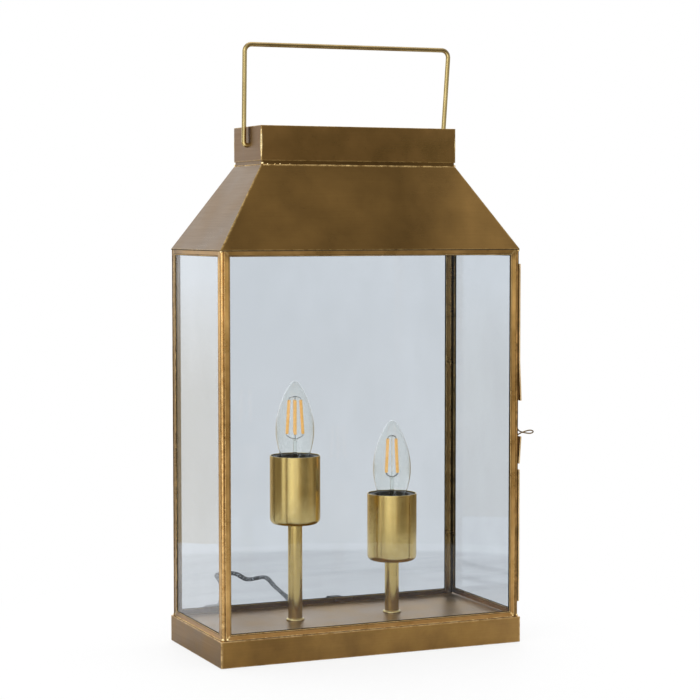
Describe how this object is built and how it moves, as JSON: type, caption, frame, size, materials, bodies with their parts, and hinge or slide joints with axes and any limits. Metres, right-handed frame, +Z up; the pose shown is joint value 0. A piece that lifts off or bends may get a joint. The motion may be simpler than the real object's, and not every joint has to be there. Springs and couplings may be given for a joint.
{
  "type": "lantern table lamp",
  "caption": "Glazed metal lantern lamp: low tray base, hinged glass door on one side, hipped roof with a collar and a wire carry handle, and bare candle bulbs in cups on stems.",
  "frame": {"origin": "on the table, under the middle of the base", "axes": "+X to the right, towards the door; +Y to the back, where the flex leaves; +Z up"},
  "size_m": [0.3094, 0.4258, 0.5481],
  "materials": {
    "aged_brass": "aged satin",
    "base_brass": "aged satin",
    "cage_brass": "aged satin",
    "wire_brass": "satin",
    "satin_brass": "brushed",
    "steel": "satin",
    "clear_glass": "clear",
    "black_plastic": "matte",
    "grey_plastic": "matte",
    "white_plastic": "matte",
    "filament_coating": "matte",
    "felt": "felt",
    "textile_flex": "woven",
    "wire_sleeve": "satin"
  },
  "bodies": {
    "lamp_body": {"base_tray": "base_brass", "bottom_cover": "steel", "cover_screws": "steel", "base_pad": "felt", "corner_posts": "cage_brass", "front_frame": "cage_brass", "front_pane": "clear_glass", "back_frame": "cage_brass", "back_pane": "clear_glass", "left_frame": "cage_brass", "left_pane": "clear_glass", "post_hinge_leaves": "cage_brass", "hinge_pins": "steel", "roof": "aged_brass", "roof_collar": "aged_brass", "collar_lid": "aged_brass", "left_stem": "satin_brass", "left_foot": "satin_brass", "left_rod": "steel", "left_nuts": "steel", "left_cup": "satin_brass", "left_holder": "black_plastic", "left_contacts": "satin_brass", "right_stem": "satin_brass", "right_foot": "satin_brass", "right_rod": "steel", "right_nuts": "steel", "right_cup": "satin_brass", "right_holder": "black_plastic", "right_contacts": "satin_brass", "terminal_block": "white_plastic", "lead_wires": "wire_sleeve", "strain_relief": "black_plastic", "cord_clamp": "black_plastic", "cord_to_switch": "textile_flex", "cord_to_coil": "textile_flex", "cord_to_plug": "textile_flex", "cord_coil": "textile_flex", "coil_tie": "black_plastic", "switch_body": "black_plastic", "plug_body": "black_plastic", "plug_pins": "steel"},
    "handle": {"carry_handle": "wire_brass"},
    "door": {"door_frame": "cage_brass", "door_pane": "clear_glass", "door_strips": "cage_brass", "door_hinge_leaves": "cage_brass"},
    "pull": {"door_pull": "wire_brass"},
    "left_bulb_foot": {"left_bulb_tip": "black_plastic"},
    "left_bulb": {"left_bulb_cap": "steel", "left_bulb_glass": "clear_glass", "left_filaments": "filament_coating", "left_bulb_mount": "clear_glass"},
    "right_bulb_foot": {"right_bulb_tip": "black_plastic"},
    "right_bulb": {"right_bulb_cap": "steel", "right_bulb_glass": "clear_glass", "right_filaments": "filament_coating", "right_bulb_mount": "clear_glass"},
    "rocker": {"switch_rocker": "grey_plastic"}
  },
  "joints": [
    {"name": "handle_swing", "type": "hinge", "parent": "lamp_body", "child": "handle", "pos_m": [0, 0, 0.4554], "axis": [1, 0, 0], "range_deg": [-117, 117]},
    {"name": "door_swing", "type": "hinge", "parent": "lamp_body", "child": "door", "pos_m": [0.143, 0.0683, 0.19325], "axis": [0, 0, 1], "range_deg": [0, 180]},
    {"name": "pull_swing", "type": "hinge", "parent": "door", "child": "pull", "pos_m": [0.1457, -0.0616, 0.194], "axis": [0, 0, 1], "range_deg": [-80, 80]},
    {"name": "left_bulb_lift", "type": "slide", "parent": "lamp_body", "child": "left_bulb_foot", "axis": [0, 0, 1], "range_m": [0, 0.00847]},
    {"name": "left_bulb_turn", "type": "hinge", "parent": "left_bulb_foot", "child": "left_bulb", "pos_m": [-0.05, 0, 0.15], "axis": [0, 0, 1], "range_deg": [0, 1080]},
    {"name": "right_bulb_lift", "type": "slide", "parent": "lamp_body", "child": "right_bulb_foot", "axis": [0, 0, 1], "range_m": [0, 0.00847]},
    {"name": "right_bulb_turn", "type": "hinge", "parent": "right_bulb_foot", "child": "right_bulb", "pos_m": [0.047, 0, 0.15], "axis": [0, 0, 1], "range_deg": [0, 1080]},
    {"name": "rocker_tilt", "type": "hinge", "parent": "lamp_body", "child": "rocker", "pos_m": [-0.074, 0.123, 0.0116], "axis": [-1, 0, 0], "range_deg": [0, 14]}
  ],
  "couplings": [
    {"joint": "left_bulb_lift", "follows": "left_bulb_turn", "m_per_rad": 0.00044882},
    {"joint": "right_bulb_lift", "follows": "right_bulb_turn", "m_per_rad": 0.00044882}
  ]
}
